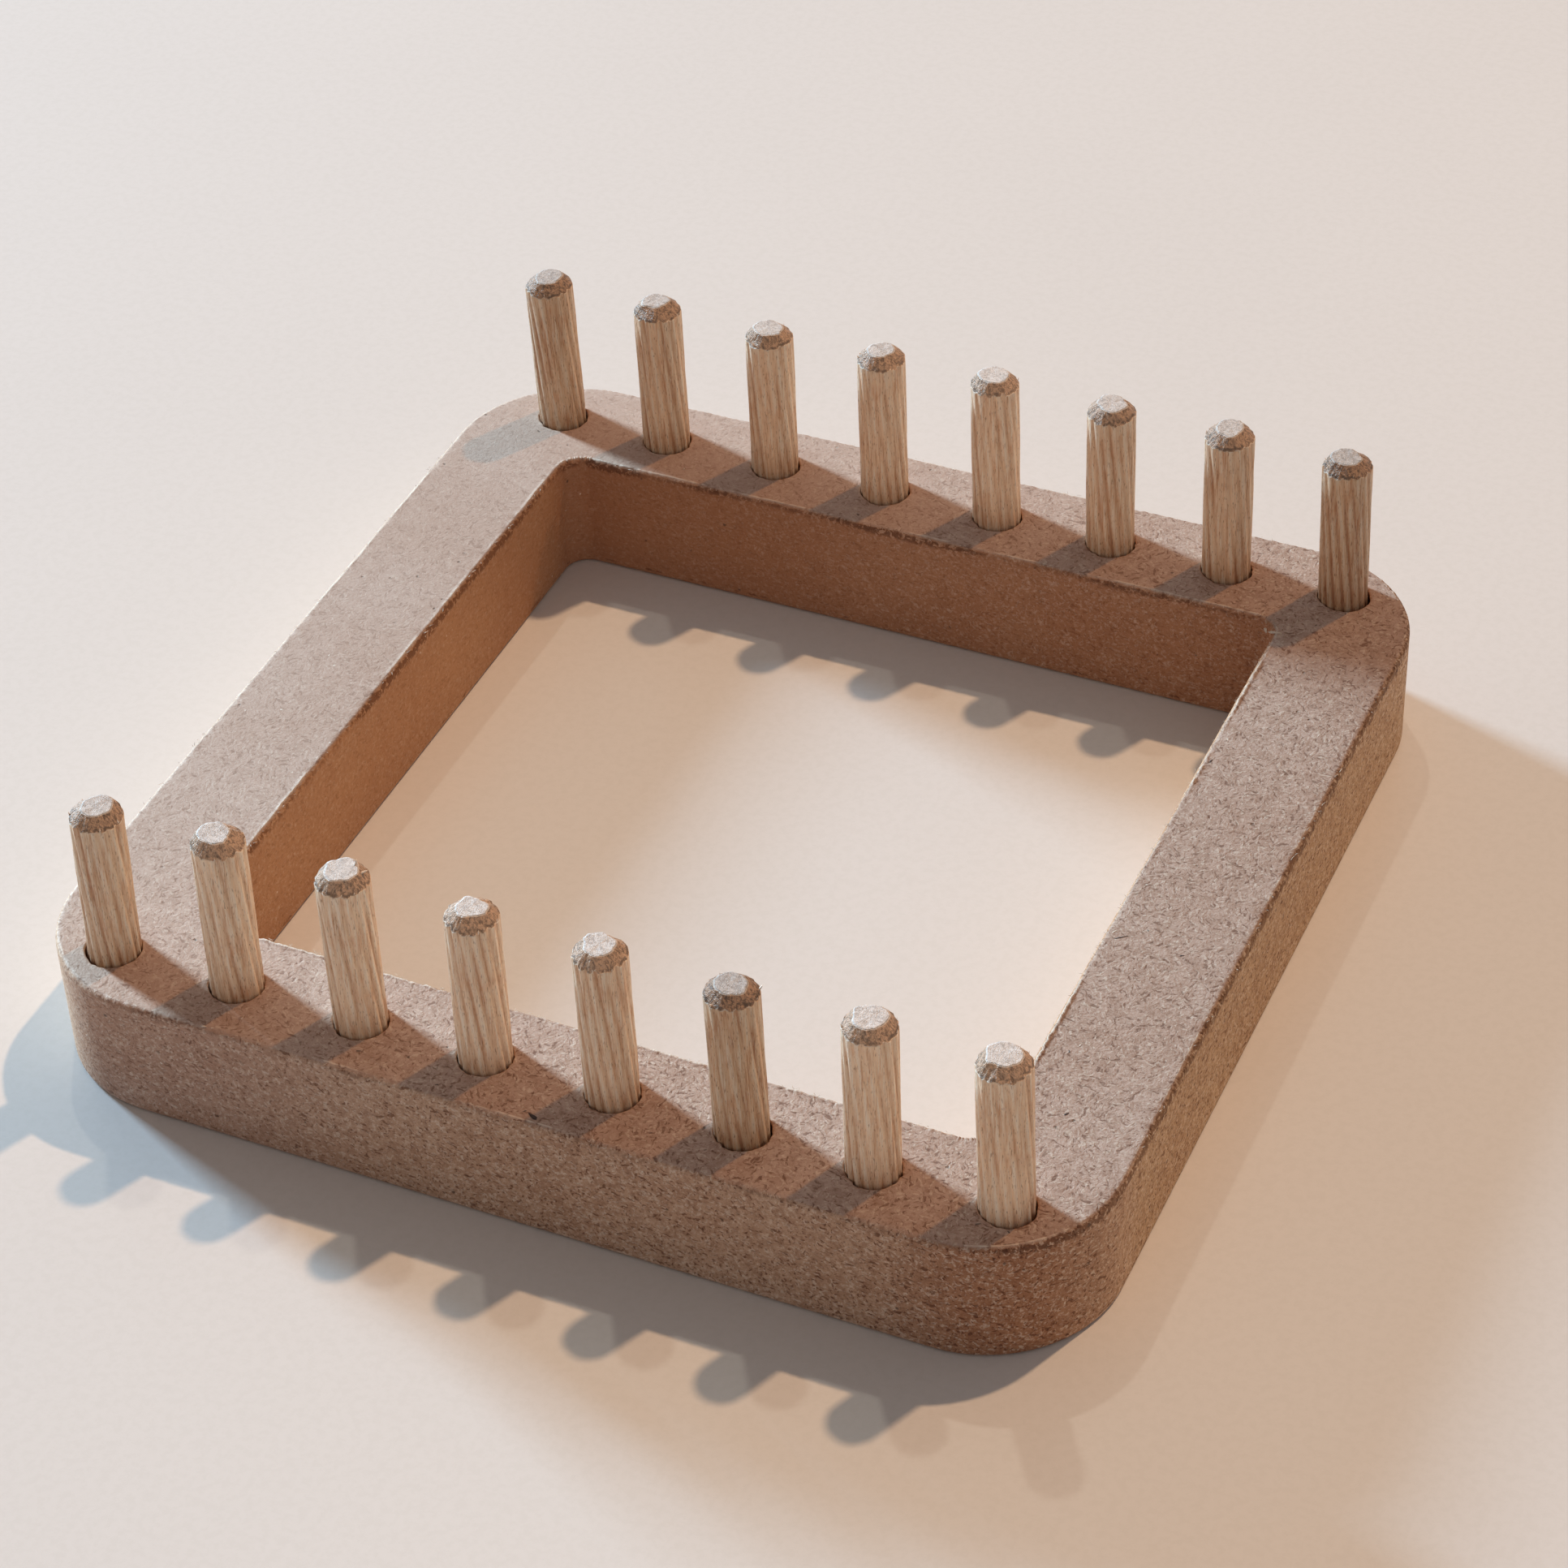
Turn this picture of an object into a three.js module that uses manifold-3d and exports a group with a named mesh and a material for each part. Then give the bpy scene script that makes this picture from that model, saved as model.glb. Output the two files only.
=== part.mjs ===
// A small peg loom or blocking frame: an open square of fibreboard with a row of fluted
// wooden dowel pegs standing in drilled holes along each of two facing rails.
// Millimetres, +Z up. The origin is at the middle of the frame's underside, the rows run
// along X, and +Y points to the far row.

import * as THREE from 'three';
import { mergeVertices } from 'three/addons/utils/BufferGeometryUtils.js';
import Module from 'manifold-3d';

// Rows of pegs
const PEGS_PER_ROW = 8;
const PEG_PITCH = 15;
const ROW_END_MARGIN = 10.25; // from the last hole's mark to the frame's side

// Frame, cut in one piece from a board
const FRAME_WIDTH = (PEGS_PER_ROW - 1) * PEG_PITCH + 2 * ROW_END_MARGIN; // along the rows
const FRAME_DEPTH = 125.5; // across the rows
const PEG_RAIL_WIDTH = 15.5; // the two rails that the pegs stand in
const SIDE_RAIL_WIDTH = 15.5; // the two rails without pegs
const BOARD_THICKNESS = 16;
const OUTER_CORNER_RADIUS = 15.5;
const INNER_CORNER_RADIUS = 3;
const ARRIS_WIDTH = 0.35; // the narrow bevel that sanding leaves along every edge
const CURVE_STEPS = 6;

// Pegs, plain grooved dowel pins with a chamfer at both ends
const PEG_DIAMETER = 6;
const PEG_LENGTH = 30;
const PEG_SEATED_DEPTH = 9; // how deep a peg stands in the board
const PEG_END_DIAMETER = 3.5; // the flat disc inside the chamfer
const PEG_CHAMFER_HEIGHT = 1.4;
const FLUTE_COUNT = 16;
const FLUTE_DEPTH = 0.22;
const FLUTE_HELIX_DEGREES = 5.5; // left-handed
const FLUTE_BANDS = 4; // straight steps that the twisted stretch is made of
const SIDES_PER_FLUTE = 3; // a valley and the two edges of the land beside it

// Holes, blind and flat-bottomed
const HOLE_CLEARANCE = 0.25; // between a peg's lands and the wall, on the radius
const SEAT_GAP = 0.3; // between a peg's foot and the hole's floor
const HOLE_SIDES = 24;
const CUT_OVERRUN = 1;

// The holes were drilled by hand, so they stand a little off their marks along the row, and
// some are deeper than others. A share of 1 is the largest drift to the right, and the
// largest rise of a peg above its usual height.
const ROWS_SHIFT = 0.4; // how far right of the frame's middle both rows were marked
const LARGEST_DRIFT = 1;
const NEAR_DRIFT_SHARES = [-1, -0.4, 0, 0.05, 0.15, 0.2, 0, -0.15];
const FAR_DRIFT_SHARES = [0.3, 0, 0.05, 0.05, 0.1, 0, 0, -0.15];
const LARGEST_RISE = 0.8;
const NEAR_RISE_SHARES = [-0.25, 1, 0.5, 0.25, -0.1, -0.5, 0.25, 0.1];
const FAR_RISE_SHARES = [0.1, -0.1, -0.4, 0, 0, -0.6, -0.4, -0.95];

// Each peg leans a little along its row, as its loose hole lets it. A share of 1 is the
// largest lean seen, which is LARGEST_LEAN_SHARE of the lean at which the peg would bind.
const LARGEST_LEAN_SHARE = 0.7;
const NEAR_LEAN_SHARES = [1, 0.45, 0.05, 0.2, -0.15, -0.4, 0.05, -0.35];
const FAR_LEAN_SHARES = [-0.6, -0.25, -0.05, -0.1, -0.25, -0.15, -0.25, -0.6];

// How light each peg's wood is beside the usual tone
const NEAR_TONE_SHARES = [0.94, 1, 1.02, 1, 0.99, 0.87, 1.01, 1.04];
const FAR_TONE_SHARES = [0.93, 0.96, 0.97, 1, 1, 0.98, 0.95, 0.88];

const BOARD_COLOUR = '#b69a88';
const PEG_COLOUR = '#c9a886';

const wasm = await Module();
wasm.setup();

// Turns a closed geometry into a solid that can be cut.
function toSolid(geometry) {
  const bare = geometry.clone();
  bare.deleteAttribute('normal');
  bare.deleteAttribute('uv');
  const merged = mergeVertices(bare);
  return new wasm.Manifold(new wasm.Mesh({
    numProp: 3,
    vertProperties: new Float32Array(merged.attributes.position.array),
    triVerts: new Uint32Array(merged.index.array),
  }));
}

function toGeometry(solid) {
  const mesh = solid.getMesh();
  const geometry = new THREE.BufferGeometry();
  geometry.setAttribute('position', new THREE.BufferAttribute(mesh.vertProperties, 3));
  geometry.setIndex(new THREE.BufferAttribute(mesh.triVerts, 1));
  return geometry;
}

function woodMaterial(colour, toneShare) {
  return new THREE.MeshStandardMaterial({
    color: new THREE.Color(colour).multiplyScalar(toneShare),
    roughness: 0.75,
    metalness: 0,
    flatShading: true,
  });
}

// Draws a rectangle with round corners, centred on the origin, anticlockwise.
function drawRoundRectangle(path, width, depth, radius) {
  const x = width / 2 - radius;
  const y = depth / 2 - radius;
  const quarter = Math.PI / 2;
  path.absarc(x, -y, radius, -quarter, 0);
  path.absarc(x, y, radius, 0, quarter);
  path.absarc(-x, y, radius, quarter, 2 * quarter);
  path.absarc(-x, -y, radius, 2 * quarter, 3 * quarter);
  path.closePath();
  return path;
}

// The board before drilling: a round-cornered square with a round-cornered square opening.
function makeBoardBlank() {
  const outline = drawRoundRectangle(new THREE.Shape(), FRAME_WIDTH, FRAME_DEPTH, OUTER_CORNER_RADIUS);
  const opening = drawRoundRectangle(
    new THREE.Path(),
    FRAME_WIDTH - 2 * SIDE_RAIL_WIDTH,
    FRAME_DEPTH - 2 * PEG_RAIL_WIDTH,
    INNER_CORNER_RADIUS,
  );
  outline.holes.push(opening);
  const blank = new THREE.ExtrudeGeometry(outline, {
    depth: BOARD_THICKNESS - 2 * ARRIS_WIDTH,
    curveSegments: CURVE_STEPS,
    bevelThickness: ARRIS_WIDTH,
    bevelSize: ARRIS_WIDTH,
    bevelOffset: -ARRIS_WIDTH,
    bevelSegments: 1,
  });
  return blank.translate(0, 0, ARRIS_WIDTH);
}

function pegX(row, index) {
  const mark = (index - (PEGS_PER_ROW - 1) / 2) * PEG_PITCH;
  return mark + ROWS_SHIFT + row.driftShares[index] * LARGEST_DRIFT;
}

function seatedDepth(row, index) {
  return PEG_SEATED_DEPTH - row.riseShares[index] * LARGEST_RISE;
}

// The space that the drill takes out for one peg. Its flats, not its corners, lie at the
// hole's radius.
function makeDrill(row, index) {
  const radius = (PEG_DIAMETER / 2 + HOLE_CLEARANCE) / Math.cos(Math.PI / HOLE_SIDES);
  const floor = BOARD_THICKNESS - seatedDepth(row, index) - SEAT_GAP;
  const height = BOARD_THICKNESS + CUT_OVERRUN - floor;
  const drill = new THREE.CylinderGeometry(radius, radius, height, HOLE_SIDES);
  return drill.rotateX(Math.PI / 2).translate(pegX(row, index), row.y, floor + height / 2);
}

function makeFrame(rows) {
  let solid = toSolid(makeBoardBlank());
  for (const row of rows) {
    for (let index = 0; index < PEGS_PER_ROW; index += 1) {
      solid = solid.subtract(toSolid(makeDrill(row, index)));
    }
  }
  const frame = new THREE.Mesh(toGeometry(solid), woodMaterial(BOARD_COLOUR, 1));
  frame.name = 'board_frame';
  return frame;
}

// One dowel pin, foot at z = 0: a turned profile whose straight stretch is then fluted, each
// flute a shallow valley that winds round the pin and runs out in the chamfers.
function makePegGeometry() {
  const radius = PEG_DIAMETER / 2;
  const endRadius = PEG_END_DIAMETER / 2;
  const straight = PEG_LENGTH - 2 * PEG_CHAMFER_HEIGHT;
  const profile = [new THREE.Vector2(0, 0), new THREE.Vector2(endRadius, 0)];
  const firstFluted = profile.length;
  for (let band = 0; band <= FLUTE_BANDS; band += 1) {
    const height = PEG_CHAMFER_HEIGHT + (straight * band) / FLUTE_BANDS;
    profile.push(new THREE.Vector2(radius, height));
  }
  const lastFluted = profile.length - 1;
  profile.push(new THREE.Vector2(endRadius, PEG_LENGTH), new THREE.Vector2(0, PEG_LENGTH));

  const sides = FLUTE_COUNT * SIDES_PER_FLUTE;
  const pin = new THREE.LatheGeometry(profile, sides).rotateX(Math.PI / 2);
  const position = pin.attributes.position;
  const turnPerHeight = -Math.tan(THREE.MathUtils.degToRad(FLUTE_HELIX_DEGREES)) / radius;
  for (let index = 0; index < position.count; index += 1) {
    const ring = index % profile.length;
    const side = Math.floor(index / profile.length);
    const isFluted = ring >= firstFluted && ring <= lastFluted;
    const isValley = side % SIDES_PER_FLUTE === 0;
    const shrink = isFluted && isValley ? 1 - FLUTE_DEPTH / radius : 1;
    const point = new THREE.Vector3().fromBufferAttribute(position, index);
    point.applyAxisAngle(new THREE.Vector3(0, 0, 1), point.z * turnPerHeight);
    position.setXYZ(index, point.x * shrink, point.y * shrink, point.z);
  }
  return pin;
}

// A peg leans about the middle of its seated stretch, so its foot and the hole's mouth share
// the clearance. Its flutes start at another angle than its neighbour's.
function makePeg(row, index) {
  const halfSeat = seatedDepth(row, index) / 2;
  const largestLean = LARGEST_LEAN_SHARE * Math.asin(HOLE_CLEARANCE / halfSeat);
  const peg = new THREE.Mesh(makePegGeometry(), woodMaterial(PEG_COLOUR, row.toneShares[index]));
  peg.name = `${row.name}_peg_${index + 1}`;
  peg.position.z = -halfSeat;
  peg.rotation.z = row.firstTurn + index;
  const seat = new THREE.Group();
  seat.position.set(pegX(row, index), row.y, BOARD_THICKNESS - halfSeat);
  seat.rotation.y = row.leanShares[index] * largestLean;
  seat.add(peg);
  return seat;
}

const rowOffset = (FRAME_DEPTH - PEG_RAIL_WIDTH) / 2;
const rows = [
  {
    name: 'near',
    y: -rowOffset,
    firstTurn: 0,
    driftShares: NEAR_DRIFT_SHARES,
    riseShares: NEAR_RISE_SHARES,
    leanShares: NEAR_LEAN_SHARES,
    toneShares: NEAR_TONE_SHARES,
  },
  {
    name: 'far',
    y: rowOffset,
    firstTurn: PEGS_PER_ROW,
    driftShares: FAR_DRIFT_SHARES,
    riseShares: FAR_RISE_SHARES,
    leanShares: FAR_LEAN_SHARES,
    toneShares: FAR_TONE_SHARES,
  },
];

const loom = new THREE.Group();
loom.add(makeFrame(rows));
for (const row of rows) {
  for (let index = 0; index < PEGS_PER_ROW; index += 1) {
    loom.add(makePeg(row, index));
  }
}

export default loom;
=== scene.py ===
"""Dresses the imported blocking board: a flecked fibreboard frame with two rows of grooved
wooden pegs, each standing loose in its drilled hole. Metres, +Z up, in the CAD's frame."""

from math import cos, radians, sin, tau

import bmesh
import bpy
import numpy as np
from bpy.props import FloatProperty, FloatVectorProperty, IntProperty, PointerProperty
from mathutils import Matrix, Vector


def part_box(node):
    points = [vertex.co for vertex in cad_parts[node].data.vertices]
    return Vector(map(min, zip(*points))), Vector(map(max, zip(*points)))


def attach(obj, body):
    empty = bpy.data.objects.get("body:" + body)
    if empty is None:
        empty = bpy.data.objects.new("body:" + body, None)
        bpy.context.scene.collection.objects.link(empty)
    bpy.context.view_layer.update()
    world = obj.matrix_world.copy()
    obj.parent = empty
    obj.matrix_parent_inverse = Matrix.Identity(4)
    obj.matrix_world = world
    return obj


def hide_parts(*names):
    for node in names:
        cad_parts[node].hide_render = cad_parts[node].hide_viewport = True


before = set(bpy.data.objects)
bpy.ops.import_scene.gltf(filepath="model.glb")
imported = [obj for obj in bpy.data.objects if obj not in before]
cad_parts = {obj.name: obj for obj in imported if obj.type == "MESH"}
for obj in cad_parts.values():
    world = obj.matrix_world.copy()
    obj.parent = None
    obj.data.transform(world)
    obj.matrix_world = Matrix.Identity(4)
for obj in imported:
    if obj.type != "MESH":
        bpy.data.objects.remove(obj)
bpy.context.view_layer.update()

bl_info = {
    "name": "Blocking board",
    "version": (1, 0, 0),
    "blender": (4, 5, 0),
    "location": "View3D > Sidebar > Blocking board",
    "description": "Builds a small pegged weaving frame with its stage",
    "category": "Object",
}

BOARD = "board_frame"
ROWS = {row: [f"{row}_peg_{number}" for number in range(1, 9)] for row in ("near", "far")}
MM = 0.001

# A phone's tone curve shows the dark board warmer in its shadows than the pale table, so the
# lamps come in shares that light only the pieces of one group.
ON_BOARD, ON_PEGS, ON_REST = "light_on_the_board", "light_on_the_pegs", "light_on_the_rest"
GROUPS_OF = {"fibreboard": (ON_BOARD,), "peg_wood": (ON_PEGS, ON_REST)}


# Sizes and colours that a user would change

def length_setting(name, description, default, least):
    return FloatProperty(name=name, description=description, default=default, min=least, unit="LENGTH")


def colour_setting(name, description, default):
    return FloatVectorProperty(
        name=name, description=description, default=default, min=0, max=1, subtype="COLOR")


def power_setting(name, description, default):
    return FloatProperty(name=name, description=description, default=default, min=0, unit="POWER")


class BoardSettings(bpy.types.PropertyGroup):
    rail_width: length_setting("Rail width", "Width of all four rails", 0.0155, 0.008)
    outer_corner: length_setting("Outer corner", "Radius of the frame's outer corners", 0.0155, 0.002)
    inner_corner: length_setting("Inner corner", "Radius of the opening's corners", 0.003, 0.0005)
    hole_radius: length_setting("Hole radius", "Radius of the drilled holes", 0.00325, 0.001)
    seat_gap: length_setting("Seat gap", "Gap between a peg's foot and the hole's floor", 0.0003, 0)
    face_colour: colour_setting("Face", "Sanded faces", (0.53, 0.385, 0.325))
    wall_colour: colour_setting("Machined walls", "Cut and drilled faces", (0.58, 0.38, 0.265))
    fibre_colour: colour_setting("Pale fibres", "Loose fibres and burrs", (0.80, 0.70, 0.61))


class PegSettings(bpy.types.PropertyGroup):
    radius: length_setting("Radius", "Over the lands between the grooves", 0.003, 0.001)
    end_radius: length_setting("End radius", "Flat disc inside the chamfer", 0.00175, 0.0005)
    chamfer: length_setting("Chamfer height", "Height of the chamfer at each end", 0.0014, 0)
    grooves: IntProperty(name="Grooves", description="Grooves round one peg", default=16, min=3, max=40)
    groove_depth: length_setting("Groove depth", "Depth of each groove", 0.00022, 0)
    helix: FloatProperty(
        name="Helix", description="How far the grooves wind to the left", default=radians(5.5), unit="ROTATION")
    wood_colour: colour_setting("Wood", "Side grain", (1.0, 0.73, 0.51))
    # Besides the grain, this colour darkens the grooves as painted shade
    streak_colour: colour_setting("Streaks", "Dark lines of the grain and the grooves", (0.58, 0.265, 0.125))
    end_colour: colour_setting("End grain", "Cut across the grain in the chamfer", (0.49, 0.32, 0.215))
    disc_colour: colour_setting("End disc", "Sawn and sanded end", (0.67, 0.61, 0.57))


class StageSettings(bpy.types.PropertyGroup):
    floor_colour: colour_setting("Floor", "Pale table top", (0.77, 0.765, 0.76))
    key_power: power_setting("Key lamp", "Warm lamp behind the frame", 60.0)
    window_power: power_setting("Window", "Cool light from the left", 54.0)
    board_key_power: power_setting(
        "Key lamp on the board", "The warm lamp's share that falls on the fibreboard", 26.0)
    board_window_power: power_setting(
        "Window on the board", "The cool light's share that falls on the fibreboard", 50.5)
    peg_window_power: power_setting(
        "Window on the pegs", "More of the cool light, on the pegs only", 17.0)
    front_power: power_setting("Front lamp", "Weak warm light on the pegs' near sides", 0.9)
    right_power: power_setting("Right lamp", "Weak warm light on the fibreboard's right side", 2.2)
    second_power: power_setting("Second lamp", "Weak lamp at the back left", 2.1)
    surround: colour_setting("Surround", "Soft light from all round", (0.245, 0.218, 0.204))


# Surfaces, worked out in millimetres

def grid_quads(rows, columns, wrap=False):
    """Quads between neighbouring rows and columns of points numbered row by row."""
    row, column = np.meshgrid(
        np.arange(rows - 1), np.arange(columns if wrap else columns - 1), indexing="ij")
    beside = (column + 1) % columns
    quads = [row * columns + column, row * columns + beside,
             (row + 1) * columns + beside, (row + 1) * columns + column]
    return np.stack(quads, axis=-1).reshape(-1, 4)


def weld(patches):
    """Joins (points, wrap, values) grids into one skin: points nearer than a ten-thousandth of a
    millimetre become one, and a quad that lost a corner to this becomes a triangle."""
    points, quads, values, count = [], [], [], 0
    for grid, wrap, value in patches:
        points.append(grid.reshape(-1, 3))
        quads.append(grid_quads(*grid.shape[:2], wrap) + count)
        values.append(value.reshape(-1, value.shape[-1]))
        count += points[-1].shape[0]
    points, quads, values = map(np.concatenate, (points, quads, values))
    _, first, same = np.unique(
        np.round(points * 1e4 + 0.123).astype(np.int64), axis=0, return_index=True, return_inverse=True)
    quads = same.reshape(-1)[quads]
    head = quads[:, 0] == quads[:, 1]
    tail = quads[:, 2] == quads[:, 3]
    faces = (quads[~head & ~tail].tolist() + quads[tail & ~head][:, :3].tolist()
             + quads[head & ~tail][:, 1:].tolist())
    return points[first], faces, values[first]


def wander(count, knots, seed):
    """A closed line of random heights from -1 to 1: knots joined by half cosine waves and read at
    count even steps."""
    heights = np.random.default_rng(seed).uniform(-1, 1, knots)
    at = np.arange(count) * knots / count
    low = np.floor(at).astype(int)
    part = 0.5 - 0.5 * np.cos(np.pi * (at - low))
    return heights[low % knots] * (1 - part) + heights[(low + 1) % knots] * part


def wander_field(first, second, knots, seed):
    """A random height from -1 to 1 for each pair of parameters: a small grid of random knots,
    closed along the first parameter (0 to 1) and open along the second (0 to 1), joined by half
    cosine waves both ways."""
    across, along = knots
    heights = np.random.default_rng(seed).uniform(-1, 1, (across, along + 1))
    a, b = first * across, np.clip(second, 0, 0.99999) * along
    a_low, b_low = np.floor(a).astype(int), np.floor(b).astype(int)
    a_part, b_part = (0.5 - 0.5 * np.cos(np.pi * (x - low)) for x, low in ((a, a_low), (b, b_low)))
    a_low, a_next = a_low % across, (a_low + 1) % across
    return ((heights[a_low, b_low] * (1 - a_part) + heights[a_next, b_low] * a_part) * (1 - b_part)
            + (heights[a_low, b_low + 1] * (1 - a_part) + heights[a_next, b_low + 1] * a_part) * b_part)


def lit_by(name, piece=None):
    """The group of pieces that a lamp lights, made at its first use, with the piece added."""
    group = bpy.data.collections.get(name) or bpy.data.collections.new(name)
    if piece is not None:
        group.objects.link(piece)
    return group


def make_piece(name, skin, channels, material, body, slot, replaced=()):
    """Puts a welded skin into a mesh, in metres, with one float attribute for each channel."""
    points, faces, values = skin
    mesh = bpy.data.meshes.new(name)
    mesh.from_pydata((points * MM).tolist(), [], faces)
    start = 0
    for channel, width in channels:
        kind, field = ("FLOAT", "value") if width == 1 else ("FLOAT_VECTOR", "vector")
        attribute = mesh.attributes.new(channel, kind, "POINT")
        data = np.ascontiguousarray(values[:, start:start + width], dtype=np.float32)
        attribute.data.foreach_set(field, data.reshape(-1))
        start += width
    bm = bmesh.new()
    bm.from_mesh(mesh)
    bmesh.ops.recalc_face_normals(bm, faces=bm.faces)
    bm.to_mesh(mesh)
    bm.free()
    mesh.shade_smooth()
    mesh.materials.append(material)
    piece = bpy.data.objects.new(name, mesh)
    bpy.context.scene.collection.objects.link(piece)
    for group in GROUPS_OF[slot]:
        lit_by(group, piece)
    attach(piece, body)
    if replaced:
        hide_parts(*replaced)
    return piece


# Pegs as the CAD has them

def peg_axis(node):
    """Middle of the foot's disc and of the head's, in millimetres, from the CAD node's points."""
    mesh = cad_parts[node].data
    points = np.empty(len(mesh.vertices) * 3)
    mesh.vertices.foreach_get("co", points)
    points = points.reshape(-1, 3) / MM
    height = points[:, 2]
    foot = points[height < height.min() + 0.5]
    head = points[height > height.max() - 0.5]
    return (foot.min(0) + foot.max(0)) / 2, (head.min(0) + head.max(0)) / 2


def hole_of(node, board_top):
    """Centre of a peg's hole, height of its foot, and how far its lean takes it from the centre at
    the mouth: the peg leans about the middle of its seated stretch."""
    foot, head = peg_axis(node)
    share = (board_top - foot[2]) / 2 / (head[2] - foot[2])
    centre = foot + (head - foot) * share
    return centre[:2], foot[2], abs((head - foot)[0] * share)


# The frame

# Steps along one hole's cell, an end cell and a side rail, and across a rail
CELL, END_CELL, SIDE, CUT = 36, 72, 210, 22
ARC_SHARE = 0.92  # of an end cell's steps along the outer outline, those on the corner's arc
# Distance out from the wall and height above the top face, over the worn arris
ARRIS = ((-1.0, 0), (-0.72, -0.01), (-0.52, -0.035), (-0.37, -0.085), (-0.24, -0.165), (-0.13, -0.28),
         (-0.05, -0.43), (-0.01, -0.58))
WALL_DEPTHS = (0.8, 1.0, 1.25, 1.6, 2.6, 4.8, 8, 11.4, 13.6, 14.4, 14.75, 15.0, 15.2)
BURR_PLACE, BURR_WIDTH = -0.50, 0.13  # where the burr stands on the arris, and how wide it is
WORN_REACH = 0.35
FOOT_LINE = 0.85  # height of the faint dark line along the foot of the wall, painted shade where the wall meets the table
# Shares of the way from a cell's border to the rim of its hole
CELL_SHARES = (0, 0.14, 0.3, 0.47, 0.64, 0.82)
# Rings of a hole's rim: distance out from the wall, depth, rise, wall share and share of the lip
RIM = ((0.7, 0, 0, 0, 0), (0.4, 0, 0.02, 0, 0.2), (0.2, 0, 0.06, 0.1, 0.6), (0.06, 0.02, 0.06, 0.4, 0.9),
       (0.01, 0.09, 0, 1, 1), (0, 0.28, 0, 1, 0.8), (0, 0.6, 0, 1, 0), (0, 3, 0, 1, 0))
LIP_REACH = 0.225  # of the torn lip, just short of an upright peg
FRAME_CHANNELS = (("wall", 1), ("burr", 1), ("edge", 1), ("inside", 1))


def arc(centre, radius, start, end, count):
    """Points and outward directions on an arc; angles in quarter turns."""
    angle = np.linspace(start, end, count + 1)[:-1] * np.pi / 2
    out = np.stack([np.cos(angle), np.sin(angle)], axis=1)
    return np.array(centre) + radius * out, out


def straight(start, end, out, count):
    """Even steps along a line, which all face the same way."""
    part = np.linspace(0, 1, count + 1)[:-1, None]
    return (1 - part) * np.array(start) + part * np.array(end), np.tile(out, (count, 1)).astype(float)


def joined(*stretches):
    return tuple(np.concatenate(part) for part in zip(*stretches))


def half_outline(half, rail, outer_r, inner_r, gaps):
    """Outer and inner outline of the near rail and the right side rail, anticlockwise, with as
    many stations on each so that they can be joined in pairs. gaps are the places along the
    rail, between two holes, where one hole's cell ends and the next begins."""
    outer_c, opening = half - outer_r, half - rail
    inner_c = opening - inner_r
    turn = int(round(END_CELL * ARC_SHARE))
    outer = [arc((-outer_c, -outer_c), outer_r, 2, 3, turn),
             straight((-outer_c, -half), (gaps[0], -half), (0, -1), END_CELL - turn)]
    first, first_out = arc((-inner_c, -inner_c), inner_r, 2, 3, END_CELL)
    last, last_out = arc((inner_c, -inner_c), inner_r, 3, 4, END_CELL)
    inner = [(first, -first_out)]
    inner_gaps = [-inner_c, *gaps[1:-1], inner_c]
    for index in range(len(gaps) - 1):
        outer.append(straight((gaps[index], -half), (gaps[index + 1], -half), (0, -1), CELL))
        inner.append(straight((inner_gaps[index], -opening), (inner_gaps[index + 1], -opening), (0, 1), CELL))
    outer += [straight((gaps[-1], -half), (outer_c, -half), (0, -1), END_CELL - turn),
              arc((outer_c, -outer_c), outer_r, 3, 4, turn),
              straight((half, -outer_c), (half, outer_c), (1, 0), SIDE)]
    inner += [(last, -last_out), straight((opening, -inner_c), (opening, inner_c), (-1, 0), SIDE)]
    return joined(*outer), joined(*inner)


def band_profile(thickness):
    """Distance out from the wall and height, from the top face over a worn arris, down the wall
    and under."""
    down = [(0, -depth) for depth in WALL_DEPTHS]
    under = [(distance, -thickness - height) for distance, height in ARRIS[::-1]]
    return np.array([*ARRIS, *down, *under]) + [0, thickness]


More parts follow.
